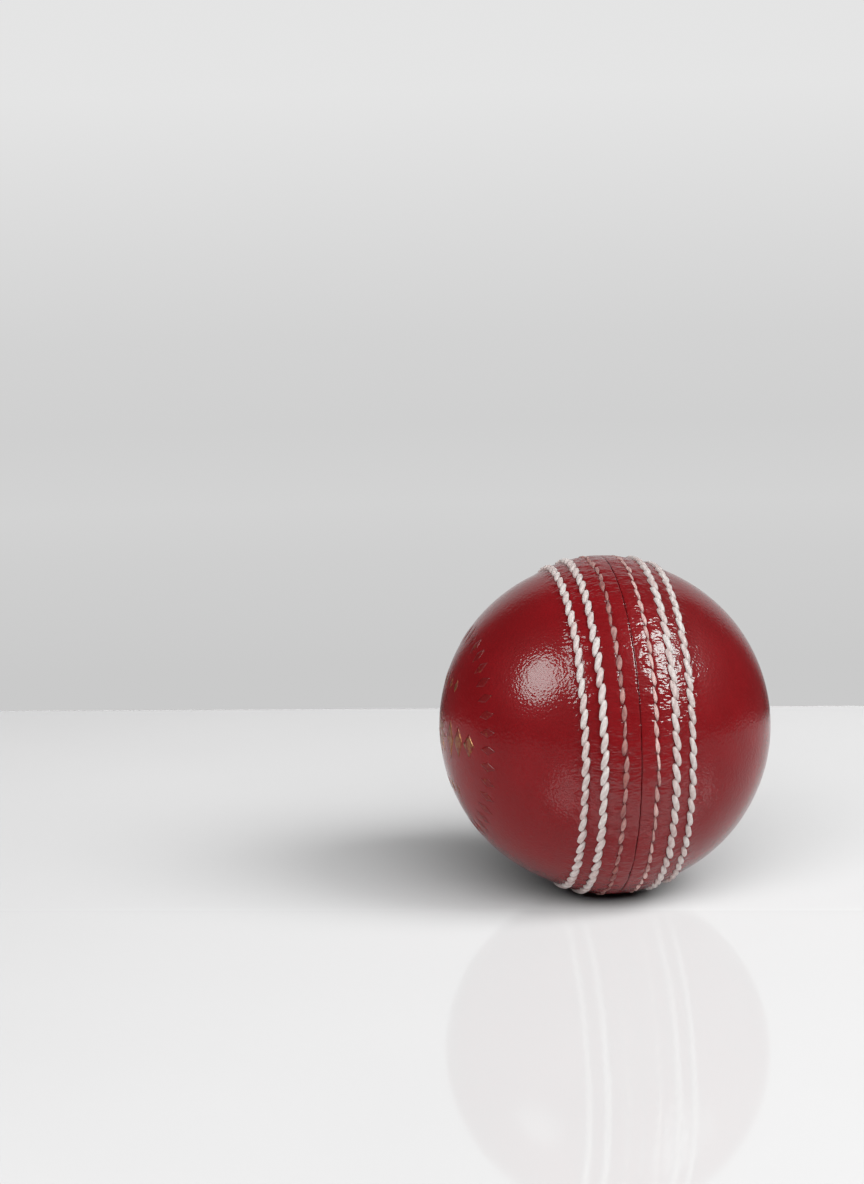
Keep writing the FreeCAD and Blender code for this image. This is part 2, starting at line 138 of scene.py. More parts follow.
def mesh_piece(name, points_mm, faces, node, material):
    """Smooth mesh in metres that stands for a CAD node and rides on the ball."""
    mesh = bpy.data.meshes.new(name)
    mesh.from_pydata((points_mm * MM).tolist(), [], faces)
    mesh.update()
    mesh.shade_smooth()
    piece = bpy.data.objects.new(name, mesh)
    bpy.context.scene.collection.objects.link(piece)
    piece.data.materials.append(material)
    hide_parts(node)
    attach(piece, "root")
    return piece


def store(piece, name, values):
    """Keeps a number for each point of a piece, for its material to read."""
    layer = piece.data.attributes.new(name, "FLOAT", "POINT")
    layer.data.foreach_set("value", values.ravel())


def joined_rings(first, count, next_first, next_count):
    """Faces between two closed rings of points, where one may have half as many points."""
    if next_count == 2 * count:
        return [face[::-1] for face in joined_rings(next_first, next_count, first, count)]
    if next_count == count:
        here = np.arange(count)
        beside = (here + 1) % count
        quads = np.stack([first + here, first + beside, next_first + beside, next_first + here],
                         axis=-1)
        return quads.tolist()
    faces = []
    for turn in range(next_count):
        left = first + 2 * turn
        middle = left + 1
        right = first + (2 * turn + 2) % count
        below = next_first + turn
        beside = next_first + (turn + 1) % next_count
        faces += [[left, middle, below], [middle, beside, below], [middle, right, beside]]
    return faces


def capped_skin(counts):
    """Faces of a closed skin over rings of points, whose two poles are the points after them."""
    starts = np.concatenate([[0], np.cumsum(counts)])
    poles = (int(starts[-1]), int(starts[-1]) + 1)
    faces = []
    for ring in range(len(counts) - 1):
        faces += joined_rings(int(starts[ring]), counts[ring], int(starts[ring + 1]),
                              counts[ring + 1])
    last = int(starts[-2])
    for turn in range(counts[0]):
        faces.append([poles[0], (turn + 1) % counts[0], turn])
    for turn in range(counts[-1]):
        faces.append([poles[1], last + turn, last + (turn + 1) % counts[-1]])
    return faces


# --- Materials ----------------------------------------------------------------------------------

def linear(red, green, blue):
    """Linear colour from 0-255 display values."""
    def channel(value):
        value /= 255.0
        return value / 12.92 if value <= 0.04045 else ((value + 0.055) / 1.055) ** 2.4
    return (channel(red), channel(green), channel(blue), 1.0)


LEATHER_DARK = linear(100, 6, 11)
LEATHER_LIGHT = linear(108, 8, 14)
# Painted shading for the seam's channels, holes and crack.
LEATHER_PAINTED_SHADE = linear(52, 5, 7)
WHITE_THREAD = linear(182, 176, 173)
WHITE_THREAD_STAINED = linear(172, 148, 144)
# Darker thread colour: painted shading between plies and at buried ends, and fluff and stain
# mottling.
WHITE_THREAD_SHADE_AND_MOTTLE = linear(122, 80, 76)
CLOSING_THREAD = linear(190, 158, 152)
CLOSING_THREAD_STAINED = linear(130, 70, 62)
# Darker closing thread colour: painted shading between plies and at buried ends, and stain mottling.
CLOSING_THREAD_SHADE_AND_MOTTLE = linear(92, 30, 28)
FOIL_LIGHT = linear(166, 118, 72)
FOIL_DARK = linear(112, 58, 42)
FOIL_WORN = linear(94, 10, 13)
CORK_LIGHT = linear(196, 158, 112)
CORK_DARK = linear(112, 74, 44)
RUBBERY_LIGHT = linear(86, 62, 46)
RUBBERY_DARK = linear(40, 30, 26)
# Painted shading: the yarn's shaded and lit colours follow its strands' grooves and crowns.
YARN_SHADED = linear(150, 128, 96)
YARN_LIT = linear(216, 200, 168)

# The Mix node's colour sockets, which share their names with its other kinds of socket.
MIX_FIRST = 6
MIX_SECOND = 7
MIX_RESULT = 2


def set_range(node, inside, outside):
    """The range that a Map Range node takes in, and the range that it gives out."""
    for socket, number in zip(("From Min", "From Max", "To Min", "To Max"), (*inside, *outside)):
        node.inputs[socket].default_value = number


class Nodes:
    """A new material's node tree, with short ways to add and link nodes.

    Each texture, sum and mix gives back the socket that holds its result, for the next to take.
    """

    def __init__(self, name):
        self.material = bpy.data.materials.new(name)
        self.material.use_nodes = True
        self.tree = self.material.node_tree
        self.shader = self.tree.nodes["Principled BSDF"]

    def add(self, kind, **values):
        node = self.tree.nodes.new(kind)
        for key, value in values.items():
            setattr(node, key, value)
        return node

    def link(self, source, target):
        self.tree.links.new(source, target)

    def set(self, **values):
        """Sets the shader's own sockets, named with underscores for spaces."""
        for key, value in values.items():
            self.shader.inputs[key.replace("_", " ")].default_value = value

    def position(self, scale=(1.0, 1.0, 1.0), rotation=(0.0, 0.0, 0.0)):
        coordinates = self.add("ShaderNodeTexCoord")
        mapping = self.add("ShaderNodeMapping")
        mapping.inputs["Scale"].default_value = scale
        mapping.inputs["Rotation"].default_value = rotation
        self.link(coordinates.outputs["Object"], mapping.inputs["Vector"])
        return mapping.outputs["Vector"]

    def attribute(self, name, scale=None):
        node = self.add("ShaderNodeAttribute", attribute_name=name)
        if scale is None:
            return node.outputs["Fac"]
        mapping = self.add("ShaderNodeMapping")
        mapping.inputs["Scale"].default_value = scale
        self.link(node.outputs["Vector"], mapping.inputs["Vector"])
        return mapping.outputs["Vector"]

    def noise(self, vector, scale, detail=2.0, roughness=0.5):
        node = self.add("ShaderNodeTexNoise")
        node.inputs["Scale"].default_value = scale
        node.inputs["Detail"].default_value = detail
        node.inputs["Roughness"].default_value = roughness
        self.link(vector, node.inputs["Vector"])
        return node.outputs["Fac"]

    def cells(self, vector, scale, feature="F1"):
        node = self.add("ShaderNodeTexVoronoi", feature=feature)
        node.inputs["Scale"].default_value = scale
        self.link(vector, node.inputs["Vector"])
        return node.outputs["Distance"]

    def ramp(self, value, low, high, low_out=0.0, high_out=1.0):
        node = self.add("ShaderNodeMapRange", interpolation_type="SMOOTHSTEP")
        set_range(node, (low, high), (low_out, high_out))
        self.link(value, node.inputs["Value"])
        return node.outputs["Result"]

    def maths(self, operation, first, second):
        node = self.add("ShaderNodeMath", operation=operation)
        for socket, value in zip(node.inputs, (first, second)):
            if isinstance(value, (int, float)):
                socket.default_value = value
            else:
                self.link(value, socket)
        return node.outputs["Value"]

    def mix(self, factor, first, second):
        node = self.add("ShaderNodeMix", data_type="RGBA")
        self.link(factor, node.inputs["Factor"])
        for index, value in ((MIX_FIRST, first), (MIX_SECOND, second)):
            if isinstance(value, tuple):
                node.inputs[index].default_value = value
            else:
                self.link(value, node.inputs[index])
        return node.outputs[MIX_RESULT]

    def bump(self, height, distance, strength=1.0, normal=None):
        node = self.add("ShaderNodeBump")
        node.inputs["Distance"].default_value = distance
        node.inputs["Strength"].default_value = strength
        self.link(height, node.inputs["Height"])
        if normal is not None:
            self.link(normal, node.inputs["Normal"])
        return node.outputs["Normal"]

    def finish(self, color, roughness=None, normal=None):
        for socket, value in (("Base Color", color), ("Roughness", roughness),
                              ("Normal", normal)):
            if value is not None:
                self.link(value, self.shader.inputs[socket])
        return self.material


def leather_material():
    """Polished dyed leather: cell grain, seam creases, and painted shading in the seam's recesses."""
    nodes = Nodes("red_leather")
    skin = nodes.position()
    across = nodes.position((0.40, 1.0, 1.0))
    band = nodes.attribute("band")
    hollow_shading = nodes.attribute("hollow_shading")
    blotch = nodes.noise(skin, scale=60.0, detail=4.0, roughness=0.6)
    dyed = nodes.mix(nodes.ramp(blotch, low=0.35, high=0.7), LEATHER_DARK, LEATHER_LIGHT)
    # Painted shading: the seam's channels, holes and crack are darkened in the colour.
    color = nodes.mix(hollow_shading, dyed, LEATHER_PAINTED_SHADE)
    grain = nodes.cells(skin, scale=2000.0, feature="SMOOTH_F1")
    pores = nodes.noise(skin, scale=1000.0, detail=3.0, roughness=0.55)
    creases = nodes.noise(across, scale=2100.0, detail=0.0)
    surface = nodes.maths("ADD", grain, nodes.maths("MULTIPLY", pores, 0.9))
    fine = nodes.bump(surface, distance=0.000048)
    creased = nodes.bump(nodes.maths("MULTIPLY", creases, band), distance=0.00017, normal=fine)
    nodes.set(Roughness=0.5, Specular_IOR_Level=0.05, Coat_Weight=1.0, Coat_Roughness=0.12,
              Coat_IOR=1.26)
    nodes.link(creased, nodes.shader.inputs["Coat Normal"])
    return nodes.finish(color, normal=creased)


def thread_material(name, clean, stained, shaded_and_mottled):
    """Waxed thread: fibres along the lay, some stitches stained, painted shading between plies."""
    nodes = Nodes(name)
    lay = nodes.attribute("lay", scale=(900.0, 2.6, 2.6))
    fibre = nodes.noise(lay, scale=1.0, detail=3.0, roughness=0.6)
    fluff = nodes.noise(nodes.position(), scale=1500.0, detail=3.0, roughness=0.6)
    stain = nodes.attribute("stain")
    tone = nodes.mix(stain, clean, stained)
    patchy = nodes.noise(nodes.position(), scale=700.0, detail=2.0)
    patches = nodes.ramp(patchy, low=0.44, high=0.62, high_out=0.60)
    fuzz = nodes.maths("ADD", nodes.ramp(fluff, low=0.45, high=0.8, high_out=0.3),
                       nodes.maths("MULTIPLY", patches, stain))
    # Painted shading between the plies and at buried ends, plus fluff and stain mottling.
    ply_shading_and_mottling = nodes.maths("ADD", nodes.attribute("painted_ply_shading"), fuzz)
    color = nodes.mix(ply_shading_and_mottling, tone, shaded_and_mottled)
    normal = nodes.bump(nodes.maths("ADD", fibre, fluff), distance=0.00007, strength=0.7)
    nodes.set(Roughness=0.72, Sheen_Weight=0.1)
    return nodes.finish(color, normal=normal)


def foil_material():
    """Stamped gold leaf, worn through to the pressed leather in patches, and most in the ring."""
    nodes = Nodes("gold_foil")
    skin = nodes.position()
    rubbing = nodes.maths("MULTIPLY", nodes.attribute("rubbed"), 0.14)
    wear = nodes.maths("ADD", nodes.noise(skin, scale=1100.0, detail=4.0, roughness=0.7), rubbing)
    worn = nodes.ramp(wear, low=0.40, high=0.58)
    tone = nodes.mix(nodes.noise(skin, scale=240.0, detail=2.0), FOIL_LIGHT, FOIL_DARK)
    color = nodes.mix(worn, tone, FOIL_WORN)
    metal = nodes.ramp(worn, low=0.0, high=1.0, low_out=0.9, high_out=0.0)
    nodes.link(metal, nodes.shader.inputs["Metallic"])
    dented = nodes.noise(skin, scale=1600.0, detail=2.0)
    nodes.set(Roughness=0.36, Specular_IOR_Level=0.15, Coat_Weight=0.15, Coat_Roughness=0.2)
    return nodes.finish(color, normal=nodes.bump(dented, distance=0.00003, strength=0.6))


def cork_material(name, light, dark, grains):
    """Cork: pale cells with dark specks, so many grains to the metre."""
    nodes = Nodes(name)
    body = nodes.position()
    cell = nodes.cells(body, scale=grains)
    specks = nodes.noise(body, scale=grains * 0.6, detail=3.0)
    color = nodes.mix(nodes.ramp(specks, low=0.52, high=0.66), light, dark)
    rough = nodes.ramp(cell, low=0.0, high=1.0, low_out=0.75, high_out=0.95)
    return nodes.finish(color, rough, nodes.bump(cell, distance=0.0004, strength=0.7))


def yarn_material(name, tilt):
    """Wound worsted yarn: strands laid round the ball in one direction, turned by the tilt."""
    nodes = Nodes(name)
    turned = nodes.position(rotation=(tilt, 0.7 * tilt, 0.3))
    strands = nodes.add("ShaderNodeTexWave", bands_direction="Z")
    strands.inputs["Scale"].default_value = 320.0
    strands.inputs["Distortion"].default_value = 1.2
    nodes.link(turned, strands.inputs["Vector"])
    fuzz = nodes.noise(turned, scale=1400.0, detail=3.0)
    # Painted shading: darker in the grooves between the strands, lighter on their crowns.
    color = nodes.mix(strands.outputs["Fac"], YARN_SHADED, YARN_LIT)
    height = nodes.maths("ADD", strands.outputs["Fac"], nodes.maths("MULTIPLY", fuzz, 0.3))
    nodes.set(Sheen_Weight=0.2)
    rough = nodes.ramp(fuzz, low=0.2, high=0.8, low_out=0.8, high_out=0.95)
    return nodes.finish(color, rough, nodes.bump(height, distance=0.0004, strength=0.8))


# --- Leather cups -------------------------------------------------------------------------------
# Along the leather from the joint the outside's rings lie at the lip's own distances, then at fine
# steps over the seam, and then at steps that grow towards the pole.

POINTS_PER_STITCH = 14
BAND_SEGMENTS = STITCHES * POINTS_PER_STITCH
CHEEK_SEGMENTS = BAND_SEGMENTS // 2
LIP_ARCS = (0.0, 0.07, 0.15, 0.25, 0.37)
FINE_REACH = 14.4
BAND_REACH = FINE_REACH + 1.0
FINE_STEP = 0.24
STEP_GROWTH = 1.15
COARSE_STEP = 1.3
ON_JOINT = 0.01  # degrees; rings nearer the seam plane than this lie on the joint's face
LINING_LATITUDES = np.concatenate([[0.0], np.linspace(8.0, 84.0, 8)])

# The thread draws a channel along each row, deeper at its holes, with puckers on both sides.

CHANNELS = {
    "closing": {"depth": 0.14, "width": 0.36, "hole": 0.18, "pucker": 0.13},
    "middle": {"depth": 0.17, "width": 0.50, "hole": 0.24, "pucker": 0.11},
    "outer": {"depth": 0.13, "width": 0.46, "hole": 0.20, "pucker": 0.09},
}
HOLE_WIDTH = 0.34
HOLE_SHARPNESS = 6
PUCKER_OFFSET = 1.1
PUCKER_WIDTH = 0.55
CRACK_WIDTH = 0.11
CRACK_DEPTH = 0.22
CRACK_WANDER = 0.05
CRACK_WANDER_LENGTH = 2.5
CRACK_FADE = 0.4
CHANNEL_SHADING = 0.15
HOLE_SHADING = 0.4
CRACK_SHADING = 0.7
CREASE_LENGTH = 0.9
CREASE_HEIGHT = 0.045
CREASE_STRETCH = np.array([0.2, 1.0, 1.0])
FINE_CREASE_LENGTH = 0.55
FINE_CREASE_HEIGHT = 0.035
FINE_CREASE_STRETCH = np.array([0.3, 1.0, 1.0])
CREASE_STRENGTH = 0.75
CREASE_SPREAD = 0.5
CREASE_SPREAD_LENGTH = 6.0
CREASES_FADE = (19.5, 24.5)
WAVE_LENGTH = 7.0
WAVE_HEIGHT = 0.030
RIPPLE_LENGTH = 2.6
RIPPLE_HEIGHT = 0.010


def cup_latitudes():
    """Latitudes of the outside's rings from joint to pole: close together in the seam."""
    arcs = list(LIP_ARCS)
    while arcs[-1] < FINE_REACH:
        arcs.append(arcs[-1] + FINE_STEP)
    step = FINE_STEP
    pole = CHEEK_RADIUS * math.pi / 2
    while arcs[-1] + 1.5 * step < pole:
        step = min(step * STEP_GROWTH, COARSE_STEP)
        arcs.append(arcs[-1] + step)
    return np.degrees(np.array(arcs) / CHEEK_RADIUS)


def cheek_waves(points, side):
    """The cheek's slight unevenness, in millimetres."""
    waves = value_noise(points, WAVE_LENGTH, SEEDS["wave"] + side)
    ripples = value_noise(points, RIPPLE_LENGTH, SEEDS["ripple"] + side)
    return WAVE_HEIGHT * waves + RIPPLE_HEIGHT * ripples


def seam_relief(points, latitude, longitude, side):
    """Seam leather's height, painted shading and creasing: crack, channels, puckers and creases."""
    arc = np.radians(latitude) * CHEEK_RADIUS
    height = np.zeros_like(arc)
    hollow_shading = np.zeros_like(arc)
    for name, row in ROWS.items():
        channel = CHANNELS[name]
        off_row = arc - math.radians(row["latitude"]) * CHEEK_RADIUS
        turn = 2.0 * np.pi * (longitude / PITCH - row["phase"])
        at_hole = 0.5 + 0.5 * np.cos(turn)
        hole = bell(off_row, HOLE_WIDTH) * at_hole ** HOLE_SHARPNESS
        beside = bell(np.abs(off_row) - PUCKER_OFFSET, PUCKER_WIDTH)
        height -= channel["depth"] * bell(off_row, channel["width"]) + channel["hole"] * hole
        height += channel["pucker"] * (0.5 - at_hole) * beside
        # Painted shading: a little in each channel, more at its holes, most in the joint's crack.
        shading_here = CHANNEL_SHADING * bell(off_row, channel["width"]) + HOLE_SHADING * hole
        hollow_shading = np.maximum(hollow_shading, shading_here)
    wandering = value_noise(points, CRACK_WANDER_LENGTH, SEEDS["crack"] + side)
    crack = bell(arc, CRACK_WIDTH + CRACK_WANDER * wandering)
    crack = crack * (1.0 - CRACK_FADE + CRACK_FADE * wandering)
    height -= CRACK_DEPTH * crack
    hollow_shading = np.maximum(hollow_shading, CRACK_SHADING * crack)
    folds = value_noise(points * CREASE_STRETCH, CREASE_LENGTH, SEEDS["crease"] + side)
    crease = 1.0 - 2.0 * np.abs(folds)
    finer = value_noise(points * FINE_CREASE_STRETCH, FINE_CREASE_LENGTH,
                        SEEDS["fine_crease"] + side)
    spread = value_noise(points, CREASE_SPREAD_LENGTH, SEEDS["strength"] + side)
    strength = CREASE_STRENGTH + CREASE_SPREAD * spread
    band = 1.0 - smooth_step(*CREASES_FADE, latitude)
    height += band * strength * (CREASE_HEIGHT * crease + FINE_CREASE_HEIGHT * finer)
    return height, np.clip(hollow_shading, 0.0, 1.0), band * strength


def ring_places(latitudes, counts):
    """Latitude and longitude of every point of rings that have different numbers of points."""
    lat = np.repeat(latitudes, counts)
    lon = np.concatenate([np.arange(count) * 360.0 / count for count in counts])
    return lat, lon


def leather_cup(node, side, material):
    """Closed half cover: the outside's rings from pole to joint, then the lining's to its pole."""
    outside = cup_latitudes()[::-1]
    arcs = np.radians(outside) * CHEEK_RADIUS
    outer_counts = [BAND_SEGMENTS if arc < BAND_REACH else CHEEK_SEGMENTS for arc in arcs]
    lat, lon = ring_places(outside, outer_counts)
    smooth = on_ball(side * lat, lon, crown(lat))
    relief, hollow_shading, band = seam_relief(smooth, lat, lon, side)
    points = on_ball(side * lat, lon, crown(lat) + relief + cheek_waves(smooth, side))
    points[lat < ON_JOINT, 0] = side * JOINT_HALF_GAP

    inner_counts = [CHEEK_SEGMENTS] * len(LINING_LATITUDES)
    lat_in, lon_in = ring_places(LINING_LATITUDES, inner_counts)
    lining = on_ball(side * lat_in, lon_in, LINING_RADIUS)
    lining[lat_in < ON_JOINT, 0] = side * JOINT_HALF_GAP

    pole = np.array([[side * CHEEK_RADIUS, 0.0, 0.0]])
    pole *= 1.0 + cheek_waves(pole, side)[:, None] / CHEEK_RADIUS
    points = np.concatenate([points, lining, pole, [[side * LINING_RADIUS, 0.0, 0.0]]])
    faces = capped_skin(outer_counts + inner_counts)
    if side > 0:
        faces = [face[::-1] for face in faces]
    piece = mesh_piece(node.replace("leather_cup", "leather_cover"), points, faces, node, material)
    plain = np.zeros(len(lat_in) + 2)
    store(piece, "hollow_shading", np.append(hollow_shading, plain))
    store(piece, "band", np.append(band, plain))


# --- Thread -------------------------------------------------------------------------------------
# A bead is the part of a thread that shows, from one hole to the next. It is thickest in its middle
# ("radius"), and thinnest at its ends ("end"); "swell" says how sharply it tapers, and "flat" how
# much of its height pressing has left. Its line stands above the leather by "height", goes under by
# "sink" at its ends, leans across the row by "lean" each way, and runs "reach" past the middle of
# each hole. "vary" is the random share of its thickness, and "stray" its random distance aside.
# "leg" is where the strand goes down, along and across the row. At random, too, a bead slips along
# the row, leans more or less, and is fullest a little off its middle.

AROUND = 18
BEAD_POINTS = 22
CROSSING_POINTS = 9
WHITE_BEAD = {"end": 0.26, "height": 0.19, "flat": 0.78, "reach": 0.36, "lean": 0.44, "sink": 0.46,
              "swell": 0.62, "vary": 0.07, "stray": 0.05, "leg": (0.26, 0.30)}
BEADS = {
    "closing": {"radius": 0.49, "end": 0.17, "height": -0.02, "flat": 0.58, "reach": -0.04,
                "lean": 0.16, "sink": 0.34, "swell": 1.15, "vary": 0.32, "stray": 0.13,
                "leg": (-0.12, 0.06)},
    "middle": {"radius": 0.68, **WHITE_BEAD},
    "outer": {"radius": 0.65, **WHITE_BEAD},
}
THIN_ROW = 0.80
SLIP = 0.06
LEAN_RANGE = (0.85, 1.2)
SKEW = 4.0
LIGHT_STAIN = (0.0, 0.5)
STAINS = {
    "closing": {-1: (0.55, 1.0), 1: (0.0, 0.55)},
    "middle": {-1: LIGHT_STAIN, 1: LIGHT_STAIN},
    "outer": {-1: LIGHT_STAIN, 1: LIGHT_STAIN},
}
STRAND_RADIUS = 0.26
LEG_TOP = 0.9
UPPER_CROSSING = LINING_RADIUS - 0.35
LOWER_CROSSING = UPPER_CROSSING - 0.62
UPPER_EDGE_CROSSING = CROWN_TOP - 1.8
LOWER_EDGE_CROSSING = CROWN_TOP - 2.7

PLIES = 3
TURNS_PER_MM = 0.16
PLY_DEPTH = 0.022
# Painted shading: darker between the plies, and where the thread dips under the leather.
VALLEY_SHADE = 0.12
BURIED_SHADE = 0.6
BURIED_DEPTH = 0.35


def bead_path(kind, side, hole, rng):
    """Points, radii, flatness and stain of one visible stitch, from its hole to the next."""
    row = ROWS[kind]
    bead = BEADS[kind]
    ring = crown(row["latitude"]) * math.cos(math.radians(row["latitude"]))
    pitch = math.radians(PITCH) * ring
    share = 0.5 - 0.5 * np.cos(np.linspace(0.0, np.pi, BEAD_POINTS))
    along = -bead["reach"] + share * (pitch + 2.0 * bead["reach"]) + rng.normal(0.0, SLIP)
    curve = 0.5 * np.cos(np.pi * share) + 0.5 - share
    aside = rng.normal(0.0, bead["stray"]) - bead["lean"] * rng.uniform(*LEAN_RANGE) * curve
    fullest = share ** (1.0 + SKEW * bead["stray"] * rng.uniform(-1.0, 1.0))
    swell = np.clip(1.0 - (2.0 * fullest - 1.0) ** 2, 0.0, 1.0) ** bead["swell"]
    girth = bead["radius"] * (1.0 + bead["vary"] * rng.uniform(-1.0, 1.0))
    if kind == "closing" and side > 0:
        girth *= THIN_ROW
    radius = bead["end"] + (girth - bead["end"]) * swell
    lift = np.clip(1.0 - (2.0 * share - 1.0) ** 4, 0.0, 1.0)
    height = bead["height"] * lift - bead["sink"] * (1.0 - lift)
    latitude = side * (row["latitude"] + np.degrees(aside / CHEEK_RADIUS))
    longitude = (hole + row["phase"]) * PITCH + np.degrees(along / ring)
    points = on_ball(latitude, longitude, crown(latitude) + height)
    stain = np.full(len(share), rng.uniform(*STAINS[kind][side]))
    return points, radius, 1.0 - (1.0 - bead["flat"]) * swell, stain


def crossing_path(kind, side, hole, over):
    """Strand from the hole on one side, under the joint, to the hole opposite."""
    row = ROWS[kind]
    surface = crown(row["latitude"])
    ring = surface * math.cos(math.radians(row["latitude"]))
    leg_along, leg_aside = BEADS[kind]["leg"]
    share = np.linspace(-1.0, 1.0, CROSSING_POINTS)
    if kind == "closing":
        depth = UPPER_EDGE_CROSSING if over else LOWER_EDGE_CROSSING
        radius = depth + (surface - LEG_TOP - depth) * np.abs(share)
    else:
        depth = UPPER_CROSSING if over else LOWER_CROSSING
        rise = np.array([surface - LEG_TOP, (surface + depth) / 2])
        radius = np.concatenate([rise, np.full(CROSSING_POINTS, depth), rise[::-1]])
        share = np.concatenate([[-1.0, -1.0], share, [1.0, 1.0]])
    longitude = (hole + row["phase"]) * PITCH - share * math.degrees(leg_along / ring)
    latitude = share * row["latitude"] - share ** 2 * math.degrees(leg_aside / CHEEK_RADIUS)
    plain = np.ones(len(share))
    return on_ball(side * latitude, longitude, radius), STRAND_RADIUS * plain, plain, plain


def thread_path(kind, first, seed):
    """The whole closed loop of one thread: over, stitch, back, stitch, all round the ball."""
    rng = np.random.default_rng(seed)
    parts = []
    for hole in range(first, STITCHES + first, 2):
        parts.append(crossing_path(kind, 1, hole, True))
        parts.append(bead_path(kind, 1, hole, rng))
        parts.append(crossing_path(kind, -1, hole + 1, False))
        parts.append(bead_path(kind, -1, hole + 1, rng))
    return [np.concatenate(column) for column in zip(*parts)]


def carried_frames(points):
    """Tangents, and a pair of cross directions carried along a closed path without twisting."""
    tangent = np.roll(points, -1, axis=0) - np.roll(points, 1, axis=0)
    tangent /= np.linalg.norm(tangent, axis=1)[:, None]
    normal = np.zeros_like(points)
    start = np.cross(tangent[0], points[0])
    normal[0] = start / np.linalg.norm(start)
    for index in range(1, len(points)):
        carried = normal[index - 1] - tangent[index] * (normal[index - 1] @ tangent[index])
        normal[index] = carried / np.linalg.norm(carried)
    return tangent, normal, np.cross(tangent, normal)


def leftover_twist(tangent, normal, binormal):
    """Angle left over when the carried frame comes back to the start of the loop."""
    last = normal[-1] - tangent[0] * (normal[-1] @ tangent[0])
    return math.atan2(last @ binormal[0], last @ normal[0])


def leather_under(points):
    """Distance of the smooth leather from the centre, under each point."""
    return crown(np.degrees(np.arcsin(points[:, 0] / np.linalg.norm(points, axis=1))))


def plied_rings(points, radius, flat, travel, length):
    """Rings of points round a closed path, the plies' relief on them, and their bearing on it."""
    tangent, normal, binormal = carried_frames(points)
    turns = round(length * TURNS_PER_MM)
    spare = leftover_twist(tangent, normal, binormal)
    lay = 2.0 * np.pi * turns * travel / length
    untwist = -spare * travel / length
    angle = np.arange(AROUND) * 2.0 * np.pi / AROUND
    theta = angle[None, :] + untwist[:, None]
    bearing = theta - lay[:, None]
    ply = np.cos(PLIES * bearing)
    reach = radius[:, None] * (1.0 - PLY_DEPTH + PLY_DEPTH * ply)
    offset = (np.cos(theta)[..., None] * normal[:, None] + np.sin(theta)[..., None]
              * binormal[:, None]) * reach[..., None]
    outward = (points / np.linalg.norm(points, axis=1)[:, None])[:, None]
    squeeze = (offset * outward).sum(-1, keepdims=True) * (1.0 - flat)[:, None, None]
    return points[:, None] + offset - squeeze * outward, ply, bearing


def stitched_thread(node, kind, first, seed, material):
    """One thread's closed loop as a plied tube, with lay, painted shading and stains for the
    material.
    """
    points, radius, flat, stain = thread_path(kind, first, seed)
    gaps = np.linalg.norm(points - np.roll(points, 1, axis=0), axis=1)
    length = gaps[1:].sum() + gaps[0]
    travel = np.cumsum(np.append(0.0, gaps[1:]))
    rings, ply, bearing = plied_rings(points, radius, flat, travel, length)
    faces = []
    for ring in range(len(points)):
        following = (ring + 1) % len(points)
        faces += joined_rings(ring * AROUND, AROUND, following * AROUND, AROUND)
    piece = mesh_piece(node.replace("thread", "stitching"), rings.reshape(-1, 3), faces, node,
                       material)
    lay = np.stack([np.broadcast_to(travel[:, None] * MM, bearing.shape), np.cos(bearing),
                    np.sin(bearing)], axis=-1)
    layer = piece.data.attributes.new("lay", "FLOAT_VECTOR", "POINT")
    layer.data.foreach_set("vector", lay.ravel())
    height = np.linalg.norm(points, axis=1) - leather_under(points)
    buried = 1.0 - smooth_step(-BURIED_DEPTH, 0.0, height)
    # Painted shading between the plies and where the thread dips under the leather.
    painted_ply_shading = VALLEY_SHADE - VALLEY_SHADE * ply + BURIED_SHADE * buried[:, None]
    store(piece, "painted_ply_shading", np.clip(painted_ply_shading, 0.0, 1.0))
    store(piece, "stain", np.broadcast_to(stain[:, None], ply.shape))


# --- Foil ---------------------------------------------------------------------------------------
# The ornament of the -X cheek, drawn on the YZ plane: across is +Y and up is +Z, in millimetres.
# Beyond the rubbed radius the foil is nearly worn away.

FOIL_TOP = 0.022
FOIL_FOOT = -0.08
LOZENGE_STEPS = 7
STAR_STEPS = 8
STAR_EDGE_STEPS = 4
MARK_COUNT = 36
MARK_RING_RADIUS = 21.0
MARK_SIZE = (2.0, 3.6)
STAR_RADIUS = 5.0
STAR_WAIST = 2.2
STAR_EYE = 0.9
STAR_POINTS = 8
LOZENGE_WIDTH = 3.6
LOZENGE_HEIGHTS = (8.4, 6.7, 5.0)
LOZENGE_START = 7.6
LOZENGE_SPACING = 4.0
SMALL_SIZE = (1.8, 2.6)
SMALL_SPACING = 3.4
SMALL_ROW_HEIGHT = 11.2
RUBBED_RADIUS = 18.3


def on_cheek(places, lift):
    """Points over (across, up) places on the -X cheek, lifted above the leather."""
    away = np.sqrt(CHEEK_RADIUS ** 2 - (places ** 2).sum(-1, keepdims=True))
    points = np.concatenate([-away, places], axis=-1)
    uneven = cheek_waves(points, -1)[..., None]
    return points * (CHEEK_RADIUS + uneven + lift) / CHEEK_RADIUS


